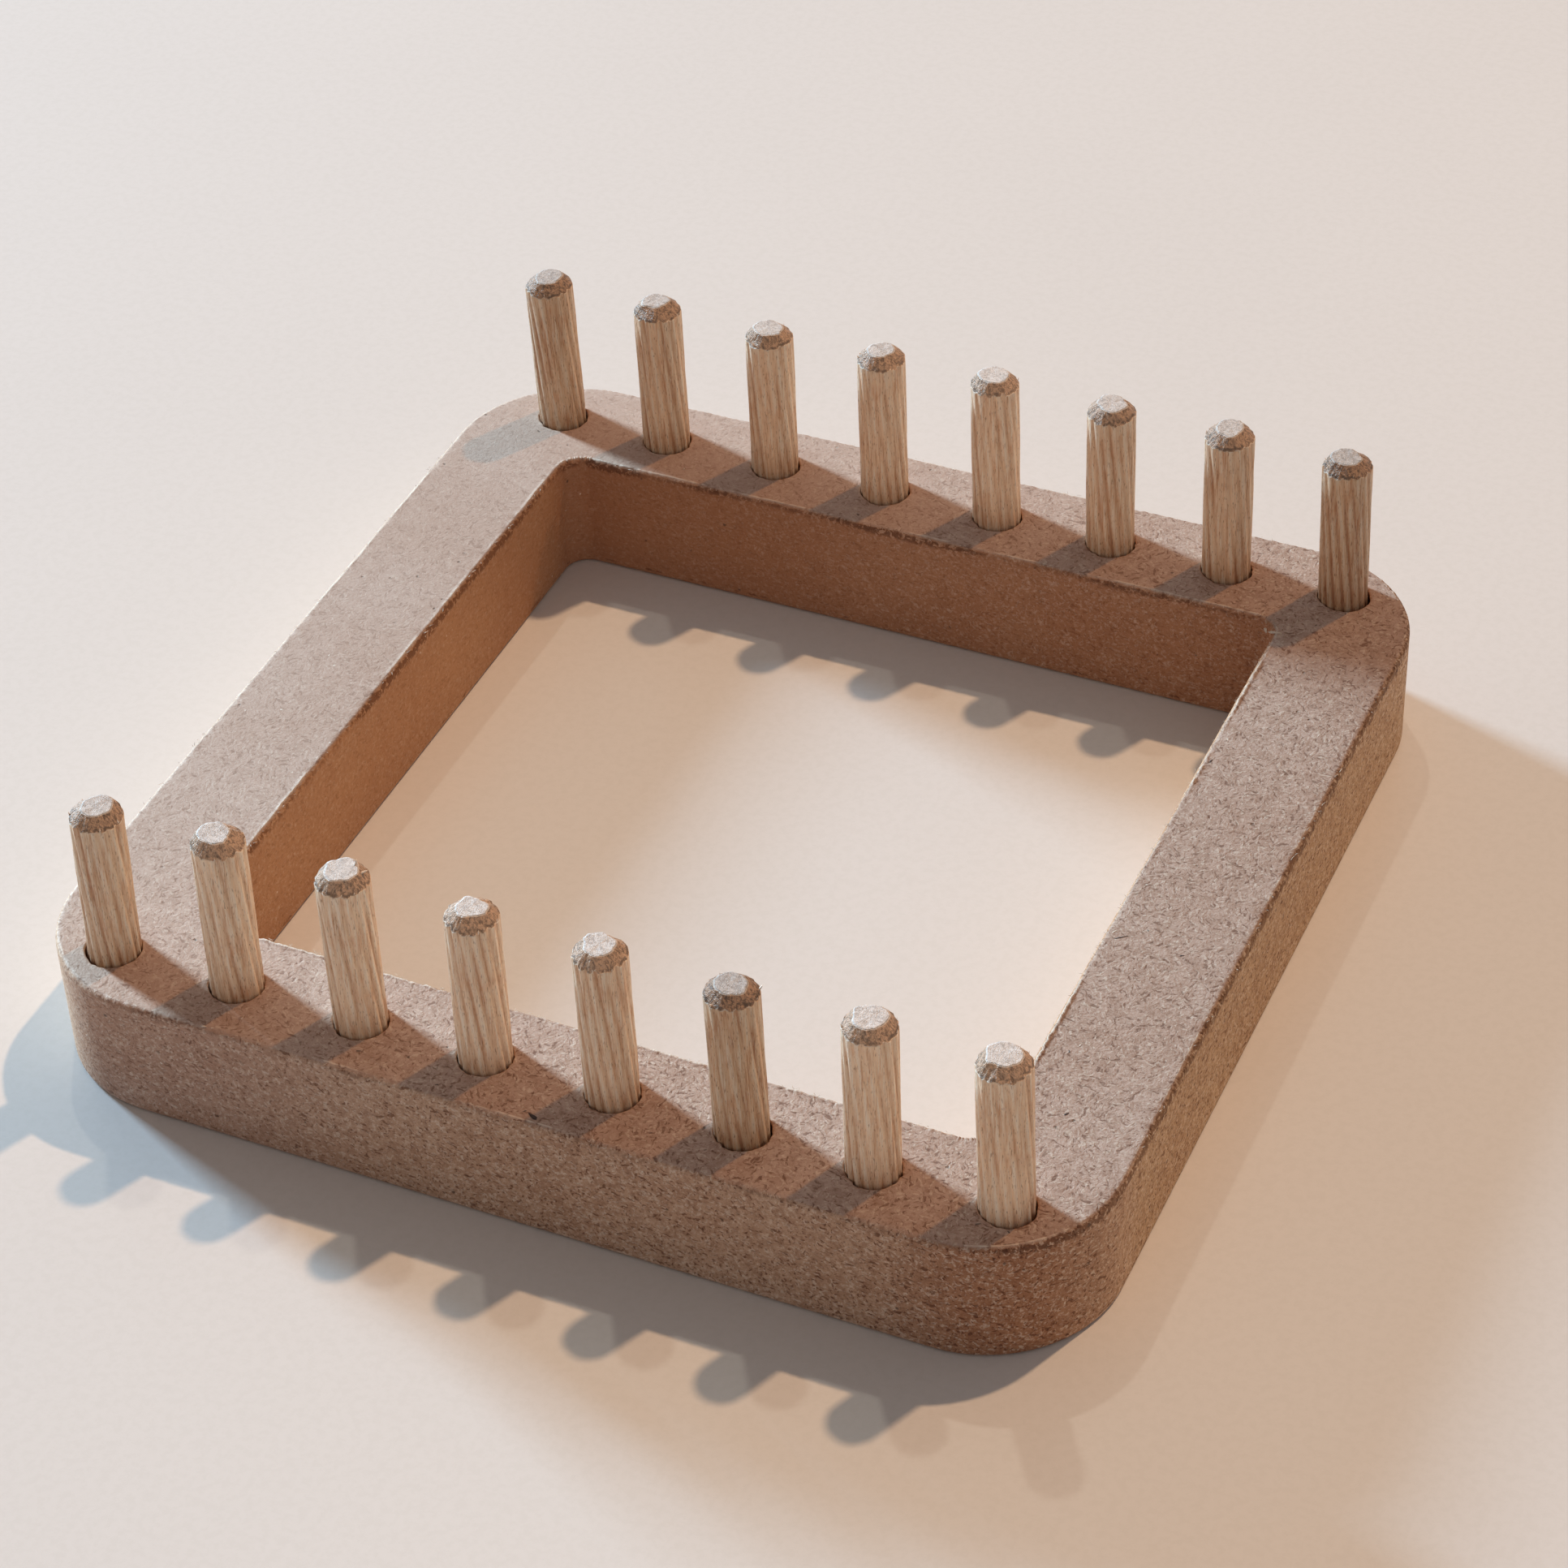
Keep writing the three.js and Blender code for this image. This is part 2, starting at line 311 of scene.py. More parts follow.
def edge_band(base, out, top, inner):
    """The edge profile carried along an outline: each point moves out from the line by the
    profile's distance, and both arrises wander a little where they are worn. The arris carries a
    burr of fluff, taller round the opening, where inner is 1, than outside, where it is 0."""
    profile = band_profile(top)
    count = len(base)
    distance = np.tile(profile[:, :1], (1, count))
    height = np.tile(profile[:, 1:], (1, count))
    worn = np.exp(-((height - top) / WORN_REACH) ** 2) + np.exp(-(height / WORN_REACH) ** 2) * 0.6
    worn *= distance > -0.8
    rough = 0.55 * wander(count, count // 2, 11 + inner) + 0.45 * wander(count, count // 7, 17 + inner)
    fine = wander(count, count, 23 + inner)
    fluff = np.clip((0.5 if inner else 0.2) + 0.7 * wander(count, 70, 31 + inner) + 0.5 * fine, 0, 1)
    burr = np.exp(-((distance - BURR_PLACE) / BURR_WIDTH) ** 2) * (height > top - 0.5) * fluff
    distance += worn * (0.06 * rough + 0.05 * fine) * (1.2 if inner else 1)
    height += worn * 0.04 * fine + burr * (0.20 if inner else 0.06)
    grid = np.stack([base[:, 0] + out[:, 0] * distance, base[:, 1] + out[:, 1] * distance, height], axis=-1)

    wall = np.clip((top - profile[:, 1:] - 0.07) / 0.12, 0, 1) * np.ones_like(height)
    deep = top - 0.24 - 0.05 * wander(count, count // 3, 41 + inner) - 0.05 * fine
    if inner:
        torn = 0.6 - 0.6 * np.clip(base[:, 0] / 47, 0, 1)
    else:
        torn = 0.10 + 0.90 * np.clip(out[:, 0], 0, 1)
    torn = np.clip(torn + 0.35 * wander(count, 60, 47 + inner), 0, 1)
    # The dark torn line just under the top arris, and a faint line of painted shade along the foot of the wall
    edge = (np.exp(-((height - deep) / np.where(height > deep, 0.10, 0.9)) ** 2) * torn
            + np.exp(-((height - FOOT_LINE) / 0.22) ** 2) * (0.3 + 0.3 * rough))
    return grid, True, np.stack([wall, burr, np.clip(edge, 0, 1), wall * inner], axis=-1)


def flat_strip(start, end, rows, wrap):
    """Straight lines from each point of one border to its partner on the other."""
    part = np.linspace(0, 1, rows)[:, None, None]
    return start * (1 - part) + end * part, wrap, np.zeros((rows, len(start), 4))


def frame_skin(settings):
    """The board as bands and cells. A band is the edge profile carried along an outline. A cell is
    the top round one hole: lines from each point of its border to the hole's rim, down its wall
    and to the middle of its floor. The side rails' tops and the underside are straight lines from
    the inner band to the outer one. The two halves of the ring are half a turn apart.
    Channels: wall (0 sanded face, 1 machined), burr (pale raised edge), edge (dark torn line just under an
    arris, with painted shade along the foot of the wall and down inside the holes), inside (1 where the opening
    and the holes were cut; the material paints shade and warm light there)."""
    half, _, top = np.array(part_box(BOARD)[1]) / MM
    rail, outer_r, inner_r, hole_r = (value / MM for value in (
        settings.rail_width, settings.outer_corner, settings.inner_corner, settings.hole_radius))
    holes = {row: [hole_of(node, top) for node in nodes] for row, nodes in ROWS.items()}
    turned = np.array([-1, -1])
    sides = [holes["near"], [(centre * turned, foot, lean) for centre, foot, lean in reversed(holes["far"])]]
    halves = []
    for side in sides:
        gaps = [(a[0][0] + b[0][0]) / 2 for a, b in zip(side[:-1], side[1:])]
        halves.append(half_outline(half, rail, outer_r, inner_r, gaps))

    patches = []
    for inner in (0, 1):
        (base, out), (far_base, far_out) = halves[0][inner], halves[1][inner]
        patches.append(edge_band(np.concatenate([base, far_base * turned]),
                                 np.concatenate([out, far_out * turned]), top, inner))
    (outer_top, outer_under), (inner_top, inner_under) = ((grid[0], grid[-1]) for grid, _, _ in patches)
    patches.append(flat_strip(outer_under, inner_under, 5, True))
    stations = len(outer_top) // 2
    for index, side in enumerate(sides):
        steps = np.cumsum([0, END_CELL] + [CELL] * 6 + [END_CELL]) + index * stations
        for (centre, foot, lean), first, last in zip(side, steps[:-1], steps[1:]):
            patches.append(cell_patch(
                centre * (turned if index else 1), foot - settings.seat_gap / MM, top, hole_r, lean,
                inner_top, outer_top, np.arange(first, last + 1) % (2 * stations)))
        at = np.arange(steps[-1], steps[-1] + SIDE + 1) % (2 * stations)
        patches.append(flat_strip(inner_top[at], outer_top[at], CUT + 1, False))
    return weld(patches)


def cell_patch(centre, floor, top, hole_r, lean, inner, outer, at):
    """Rings from a cell's border to its hole: share 0 is the border and 1 the rim, each point
    moving straight to the rim's point at its own angle, then down the wall and to the floor's
    middle. The drill left a raised and broken lip of fibres that reaches in towards the peg at
    the sides and back, and is torn away in front."""
    part = np.linspace(0, 1, CUT + 1)[:, None]
    here, there = ((1 - part) * inner[i] + part * outer[i] for i in (at[0], at[-1]))
    border = np.concatenate([inner[at][:-1], there[:-1], outer[at][:0:-1], here[:0:-1]])[:, :2]
    angle = np.arctan2(border[:, 1] - centre[1], border[:, 0] - centre[0])
    around = np.stack([np.cos(angle), np.sin(angle)], axis=1)
    seed = int(abs(centre[0]) * 100) + (7 if centre[1] > 0 else 3)
    turn, flat = (angle / tau) % 1, np.zeros_like(angle)
    lift = 0.5 + 0.5 * wander_field(turn, flat, (23, 1), seed)
    chip = wander_field(turn, flat, (41, 1), seed + 1)
    torn = np.clip(2.2 * (np.cos(angle + 0.9) - 0.35) + 0.5 * chip, 0, 1)
    inward = (LIP_REACH - lean * np.abs(np.cos(angle))) * (1 - torn) - 0.06 * torn
    rows, values = [], []

    def ring(points, height, wall=0.0, burr=0.0, edge=0.0):
        rows.append(np.column_stack([points, height + flat]))
        values.append(np.column_stack([channel + flat for channel in (wall, burr, edge, wall)]))

    for share in CELL_SHARES:
        ring(border * (1 - share) + (centre + (hole_r + RIM[0][0]) * around) * share, top)
    # Deeper than 0.2 mm down the hole and on its floor the edge channel is 0.5: painted shade inside the hole
    for reach, drop, rise, wall, lip in RIM:
        radius = hole_r + reach - lip * inward + 0.03 * chip * (0 < reach < 0.3)
        ring(centre + radius[:, None] * around, top - drop + rise * lift,
             wall, rise * 9 * lift, 0.5 * (drop > 0.2))
    for radius in (hole_r, hole_r * 0.5, 0):
        ring(centre + radius * around, floor, 1.0, 0.0, 0.5)
    return np.stack(rows), True, np.stack(values)


# Chips and flakes in the face; the dark ones stand for small pits and chips, their darkness partly painted
# shade, and the pale one at (51.2, -30.3) is a painted glint: x, y, direction in degrees, length, radius, shade
MARKS = (
    (2.5, -61.8, 155, 1.5, 0.30, 1.0), (0.9, -60.9, 230, 0.6, 0.12, 0.9), (46.6, 44.9, 10, 1.8, 0.24, 0.0),
    (46.0, 45.6, -60, 1.2, 0.2, 0.1), (53.4, -40.7, 60, 0.8, 0.15, 1.0), (50.6, -31.7, 110, 0.6, 0.12, 0.9),
    (56.2, -13.0, 30, 0.7, 0.13, 1.0), (48.5, -13.1, 38, 2.0, 0.10, 0.95), (48.1, -12.2, 60, 0.9, 0.10, 0.0),
    (51.2, -30.3, 80, 0.5, 0.10, 0.0), (-37.7, -62.4, 10, 0.7, 0.14, 0.0), (-36.6, -62.3, 25, 0.5, 0.09, 0.0),
    (48.3, 19.4, 75, 0.7, 0.13, 1.0), (55.6, 35.3, 40, 0.5, 0.09, 0.9), (51.8, -10.5, 130, 0.5, 0.10, 0.9),
    (-9.5, -60.9, 200, 0.6, 0.11, 0.9), (20.6, -59.4, 40, 0.5, 0.10, 0.8), (54.5, -58.6, 150, 0.9, 0.12, 0.85),
    (50.6, -58.8, 35, 0.9, 0.12, 0.85), (-20.3, -59.6, 15, 0.8, 0.12, 0.85))
FIBRES = 420
INNER_SHARE = 0.7  # of the fibres, those along the opening


def loose_fibres(settings):
    """Fine pale fibres that the saw pulled out along the top edges, and a few dark chips and pale flakes that
    lie in the face; the dark marks stand for small pits and chips, whose darkness is partly painted shade, and
    one pale flake is a painted glint. Each fibre starts in the board close to an edge and lies along it, a
    little outwards and up. Channel: shade (0 pale, 1 dark)."""
    half, _, top = np.array(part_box(BOARD)[1]) / MM
    opening = half - settings.rail_width / MM
    rng = np.random.default_rng(77)
    quarter = rng.integers(0, 4, FIBRES) * np.pi / 2
    inner = rng.uniform(0, 1, FIBRES) < INNER_SHARE
    along = rng.uniform(-1, 1, FIBRES) * np.where(inner, opening - 3.5, half - 16)
    away = np.where(inner, opening, half)
    out_sign = np.where(inner, -1.0, 1.0)
    level = np.zeros(FIBRES)
    out = np.column_stack([np.cos(quarter), np.sin(quarter), level])
    edge = np.column_stack([-np.sin(quarter), np.cos(quarter), level])
    length = rng.uniform(0.25, 1.1, FIBRES) ** 1.3
    bases = out * (away - out_sign * rng.uniform(0.15, 0.45, FIBRES))[:, None] + edge * along[:, None]
    bases[:, 2] = top - rng.uniform(0.02, 0.12, FIBRES)
    lean = rng.uniform(-1.25, 1.25, FIBRES)
    heading = edge * np.sin(lean)[:, None] + out * (out_sign * np.cos(lean))[:, None] * 0.55
    tips = bases + heading * length[:, None]
    tips[:, 2] = top + rng.uniform(-0.12, 0.16, FIBRES)
    bows = np.column_stack([rng.uniform(-0.06, 0.06, (FIBRES, 2)), rng.uniform(0, 0.10, FIBRES)])
    radii = rng.uniform(0.018, 0.036, FIBRES)
    shade = rng.uniform(0, 1, FIBRES) ** 3 * 0.6

    marks = np.array(MARKS)
    turn = np.radians(marks[:, 2])
    depth = np.full(len(marks), 0.03)
    mark_bases = np.column_stack([marks[:, :2], top - depth])
    mark_tips = mark_bases + np.column_stack([np.cos(turn), np.sin(turn), depth]) * marks[:, 3:4]
    bases, tips = np.concatenate([bases, mark_bases]), np.concatenate([tips, mark_tips])
    bows = np.concatenate([bows, np.zeros((len(marks), 3))])
    radii, shade = np.concatenate([radii, marks[:, 4]]), np.concatenate([shade, marks[:, 5]])
    fibres = spindles(bases, tips, bows, radii, 0.5)
    return weld([(fibre, True, np.full(fibre.shape[:2] + (1,), dark)) for fibre, dark in zip(fibres, shade)])


# Pegs

PEG_AROUND = 160
SHARPNESS = 24.0  # of the join between the turned profile and the grooved body
# How a border wanders: knots, seed offset and height of each closed line that is added up
RAGGED = ((61, 120, 0.07), (23, 160, 0.12), (5, 170, 0.10))
LOBED = ((5, 140, 0.16), (11, 150, 0.10), (29, 180, 0.04))
# How light each peg is
TONES = {"near": (0.88, 0.94, 0.96, 1.00, 0.97, 0.79, 1.00, 1.00),
         "far": (0.80, 0.86, 0.90, 0.92, 0.97, 0.90, 0.87, 0.79)}
# Angle, start radius, start height under the head, tip radius, tip height under it, thickness
SPLINTERS = {
    "near_peg_3": [(0.9, 1.5, 0.4, 1.85, -0.75, 0.30), (0.35, 1.6, 0.7, 2.85, 0.0, 0.28)],
    "near_peg_5": [(5.6, 2.7, 2.0, 2.95, 1.1, 0.15)],
    "near_peg_6": [(0.45, 2.5, 1.5, 3.25, 0.5, 0.22), (4.3, 2.5, 1.7, 3.0, 1.0, 0.22)],
}
PEG_CHANNELS = (("grain", 3), ("disc", 1), ("chamfer", 1), ("groove", 1), ("rim", 1), ("tone", 1))
TORN_CHANNELS = (0, 0, 0, 0.9, 1.0)  # of a splinter, after its grain


def peg_profile(radius, end_radius, chamfer, length):
    """Radius and height of the two cones and end discs that bound the pin, from the middle of its
    foot to the middle of its head, and how much each point belongs to an end disc."""
    slope = (radius - end_radius) / chamfer
    disc = [(end_radius * share, 0, 1) for share in (0, 0.3, 0.6, 0.8, 0.93)]
    brim = [(end_radius - 0.02, 0.015, 0.8), (end_radius + 0.05, 0.06, 0.2)]
    cone = [(end_radius + slope * z, z, 0) for z in np.linspace(0.15, chamfer + 0.5, 17)]
    foot = np.array(disc + brim + cone)
    body = np.array([(2 * radius, z, 0) for z in np.linspace(chamfer + 0.9, length - chamfer - 0.9, 38)])
    head = foot[::-1] * [1, -1, 1] + [0, length, 0]
    return np.concatenate([foot, body, head])


def spindles(bases, tips, bows, radii, flatness, sides=5):
    """Thin fibres, one for each base and tip. The middle line runs from base to tip and is bowed
    by bows times 4t(1-t). A ring round it swells at once to the radius and thins to a point."""
    share = np.linspace(0, 1, 6)[None, :, None, None]
    swell = np.array([0, 1, 0.95, 0.75, 0.45, 0])[None, :, None, None]
    line = tips - bases
    along = line / np.linalg.norm(line, axis=1, keepdims=True)
    side = np.cross(along, np.where(np.abs(along[:, 2:]) < 0.8, [[0.0, 0.0, 1.0]], [[1.0, 0.0, 0.0]]))
    side /= np.linalg.norm(side, axis=1, keepdims=True)
    other = np.cross(along, side)
    angle = (tau * np.arange(sides) / sides)[None, None, :, None]
    ring = side[:, None, None] * np.cos(angle) + other[:, None, None] * np.sin(angle) * flatness
    middle = bases[:, None, None] + line[:, None, None] * share + bows[:, None, None] * 4 * share * (1 - share)
    return middle + swell * ring * radii[:, None, None, None]


def torn_grain(length, seed, extra):
    """Splinters at the head of a peg, in its own place with the foot at 0: each starts inside the
    shoulder and stands up and out along the grain. extra gives more, as in SPLINTERS."""
    rng = np.random.default_rng(seed + 500)
    ranges = ((0, tau), (2.55, 2.80), (1.5, 1.9), (2.72, 2.98), (0.75, 1.15), (0.07, 0.14))
    rows = np.column_stack([rng.uniform(low, high, 7) for low, high in ranges])
    rows = np.concatenate([rows, np.array(extra).reshape(-1, 6)])
    turn, start_r, start_z, tip_r, tip_z, thick = rows.T
    out = np.column_stack([np.cos(turn), np.sin(turn), np.zeros(len(rows))])
    up = np.array([0, 0, 1.0])
    bases = out * start_r[:, None] + up * (length - start_z)[:, None]
    tips = out * tip_r[:, None] + up * (length - tip_z)[:, None]
    return spindles(bases, tips, out * 0.04, thick, 0.45)


def peg_skin(settings, foot, head, tone, seed, extra=()):
    """A grooved pin: at each height and angle the radius is the smaller, with a soft join, of the
    turned profile and the grooved body. A groove is a cosine hollow, narrower than the land
    beside it, and winds to the left as it climbs. Ridges of the grain run along the whole pin.
    Channels: grain (place in the peg's own wood, mm), end disc, chamfer, groove, rim (1 on the pale torn rim
    under a chamfer, -1 in the dark hollow above it), tone (each peg's own lightness, lowered near the board as
    painted shade)."""
    length = float(np.linalg.norm(head - foot))
    radius, end_radius, chamfer_height, depth = (value / MM for value in (
        settings.radius, settings.end_radius, settings.chamfer, settings.groove_depth))
    profile = peg_profile(radius, end_radius, chamfer_height, length)
    turned_r, flat = profile[:, :1], profile[:, 2:3]
    turn = np.tile(np.arange(PEG_AROUND) / PEG_AROUND, (len(profile), 1))
    height = np.tile(profile[:, 1:2], (1, PEG_AROUND))
    share = height / length

    def field(across, along, offset):
        return wander_field(turn, share, (across, along), seed + offset)

    def border(parts):
        return sum(wander(PEG_AROUND, knots, seed + offset) * rise for knots, offset, rise in parts)

    wound = turn + np.tan(settings.helix) * height / radius / tau + seed * 0.137
    wave = 0.5 + 0.5 * np.cos(tau * settings.grooves * wound)
    shallow = np.clip(0.55 + 0.6 * wander(settings.grooves, settings.grooves, seed + 30), 0.1, 1)
    nearest = shallow[np.floor(settings.grooves * wound + 0.5).astype(int) % settings.grooves]
    to_end = np.clip((np.minimum(height, length - height) - 1.2) / 4.0, 0, 1)
    hollow = wave ** 1.7 * (0.85 + 0.3 * field(16, 3, 0)) * (nearest * (1 - to_end) + to_end)
    body_r = radius - depth * hollow + 0.018 * field(90, 2, 40) - 0.015 * (1 - field(5, 4, 80))

    along = np.clip((turned_r - end_radius) / (radius - end_radius), 0, 1)
    inner = np.clip(turned_r / end_radius, 0, 1)
    cone_r = turned_r + end_radius * border(LOBED) * inner * (1 - along) + border(RAGGED) * along
    cone_r = cone_r - 0.10 * np.clip(field(48, 60, 60), 0, 1) * (along > 0.1) * (along < 1)
    gap = body_r - cone_r
    soft = np.exp(-SHARPNESS * np.clip(cone_r - radius, -9, 9)) + np.exp(-SHARPNESS * (body_r - radius))
    pin_r = np.clip(np.where(flat > 0.5, cone_r, radius - np.log(soft) / SHARPNESS), 0, radius)
    pin_r[[0, -1]] = 0

    chamfer = np.clip(gap / 0.05 + 0.4, 0, 1) * (flat < 0.9)
    tuft = np.clip(0.55 + 0.8 * wander(PEG_AROUND, 47, seed + 190), 0, 1)
    pit = np.clip(0.5 + 0.9 * wander(PEG_AROUND, 31, seed + 210), 0, 1)
    rim = (np.exp(-((gap + 0.03) / 0.06) ** 2) * tuft
           - np.exp(-((gap - 0.16) / 0.11) ** 2) * (flat < 0.1) * pit)
    mouth = (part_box(BOARD)[1][2] / MM - foot[2]) / (head - foot)[2] * length
    tone = tone * (1 - 0.12 * np.exp(-((height - mouth) / 2.6) ** 2))  # painted shade, darker where the peg stands in the board

    x, y = pin_r * np.cos(tau * turn), pin_r * np.sin(tau * turn)
    dish = wander_field(turn, np.clip(pin_r / 2.4, 0, 1), (9, 3), seed + 200) * np.clip(pin_r / 0.8, 0, 1)
    z = height + flat * 0.05 * dish * np.where(share > 0.5, 1, -1)
    z[[0, -1]] = height[[0, -1]]
    pin = np.stack([x, y, z], axis=-1)
    up = (head - foot) / length
    side = np.array([up[2], 0, -up[0]]) / np.hypot(up[2], up[0])
    place = np.stack([side, np.cross(up, side), up])
    offset = np.array([seed * 7.3, seed * 4.1, seed * 23.0])
    disc = flat * np.ones_like(height)
    values = np.stack([disc, chamfer, hollow * (1 - chamfer), rim, tone], axis=-1)
    patches = [(foot + pin @ place, True, np.concatenate([pin + offset, values], axis=-1))]
    for splinter in torn_grain(length, seed, extra):
        values = np.tile(TORN_CHANNELS, splinter.shape[:2] + (1,))
        patches.append((foot + splinter @ place, True, np.concatenate([splinter + offset, values], axis=-1)))
    return weld(patches)


# Materials

def rgba(colour, scale=1.0):
    return (*(min(1.0, channel * scale) for channel in colour), 1.0)


class Nodes:
    """A node tree in the making. Every input takes a value or another node's output."""

    def __init__(self, tree):
        self.tree = tree
        tree.nodes.clear()

    def feed(self, node, inputs):
        for key, value in inputs.items():
            if isinstance(value, bpy.types.NodeSocket):
                self.tree.links.new(value, node.inputs[key])
            else:
                node.inputs[key].default_value = value

    def add(self, kind, inputs=None, **settings):
        node = self.tree.nodes.new(kind)
        for name, value in settings.items():
            setattr(node, name, value)
        self.feed(node, inputs or {})
        return node

    def read(self, attribute, output="Fac"):
        """A channel of the mesh."""
        return self.add("ShaderNodeAttribute", attribute_name=attribute).outputs[output]

    def math(self, operation, first, second):
        return self.add("ShaderNodeMath", {0: first, 1: second}, operation=operation).outputs[0]

    def vector(self, operation, first, second):
        return self.add("ShaderNodeVectorMath", {0: first, 1: second}, operation=operation).outputs

    def times(self, first, *others):
        for other in others:
            first = self.math("MULTIPLY", first, other)
        return first

    def ramp(self, value, low, high, to_low=0.0, to_high=1.0):
        """Spreads the values from low to high over a new range, clamped and with soft ends."""
        return self.add("ShaderNodeMapRange",
                        {"Value": value, "From Min": low, "From Max": high,
                         "To Min": to_low, "To Max": to_high},
                        interpolation_type="SMOOTHSTEP").outputs["Result"]

    def mix(self, share, first, second, kind="MIX"):
        return self.add("ShaderNodeMix", {0: share, 6: first, 7: second},
                        data_type="RGBA", blend_type=kind).outputs[2]

    def noise(self, place, size, detail=2.0, rough=0.5, distort=0.0):
        """Noise whose grains measure size, along each axis or along all."""
        sizes = size if isinstance(size, tuple) else (size,) * 3
        scaled = self.add("ShaderNodeMapping", {"Vector": place, "Scale": tuple(1 / s for s in sizes)})
        return self.add("ShaderNodeTexNoise",
                        {"Vector": scaled.outputs[0], "Scale": 1.0, "Detail": detail, "Roughness": rough,
                         "Distortion": distort}).outputs["Fac"]

    def cells(self, place, scale):
        return self.add("ShaderNodeTexVoronoi", {"Vector": place, "Scale": scale, "Randomness": 1.0}).outputs

    def split(self, colour):
        return self.add("ShaderNodeSeparateColor", {0: colour}).outputs

    def strokes(self, place, patch, length, thickness, shift):
        """Short fibres that all lie one way within each small patch: cell noise gives every patch
        its own turn, and a noise drawn out along that direction gives the fibres."""
        moved = self.vector("ADD", place, (shift, shift * 0.7, shift * 1.3))[0]
        angle = self.times(self.split(self.cells(moved, 1 / patch)["Color"])[0], tau)
        turned = self.add("ShaderNodeVectorRotate", {"Vector": moved, "Axis": (0.12, 0.2, 1.0), "Angle": angle},
                          rotation_type="AXIS_ANGLE")
        return self.noise(turned.outputs[0], (length, thickness, thickness), detail=1.0)


class Surface(Nodes):
    """A material in the making, with the colour so far."""

    def __init__(self, name):
        self.material = bpy.data.materials.new(name)
        self.material.use_nodes = True
        super().__init__(self.material.node_tree)
        self.place = self.add("ShaderNodeTexCoord").outputs["Object"]
        self.colour = None

    def tint(self, share, tint):
        """Multiplies the colour by a tint, as far as share says."""
        self.colour = self.mix(share, self.colour, rgba(tint), "MULTIPLY")

    def cover(self, share, colour, scale=1.0):
        """Lays another colour over it, as far as share says."""
        self.colour = self.mix(share, self.colour, rgba(colour, scale))

    def finish(self, rough, relief=None, strength=0.0, depth=0.0):
        """Adds the shader, with the relief as a bump of the given depth in metres."""
        shader = self.add("ShaderNodeBsdfPrincipled", {
            "Base Color": self.colour, "Roughness": rough, "Specular IOR Level": 0.5})
        if relief is not None:
            bump = self.add("ShaderNodeBump", {"Strength": strength, "Distance": depth, "Height": relief})
            self.feed(shader, {"Normal": bump.outputs[0]})
        self.add("ShaderNodeOutputMaterial", {"Surface": shader.outputs[0]})
        return self.material


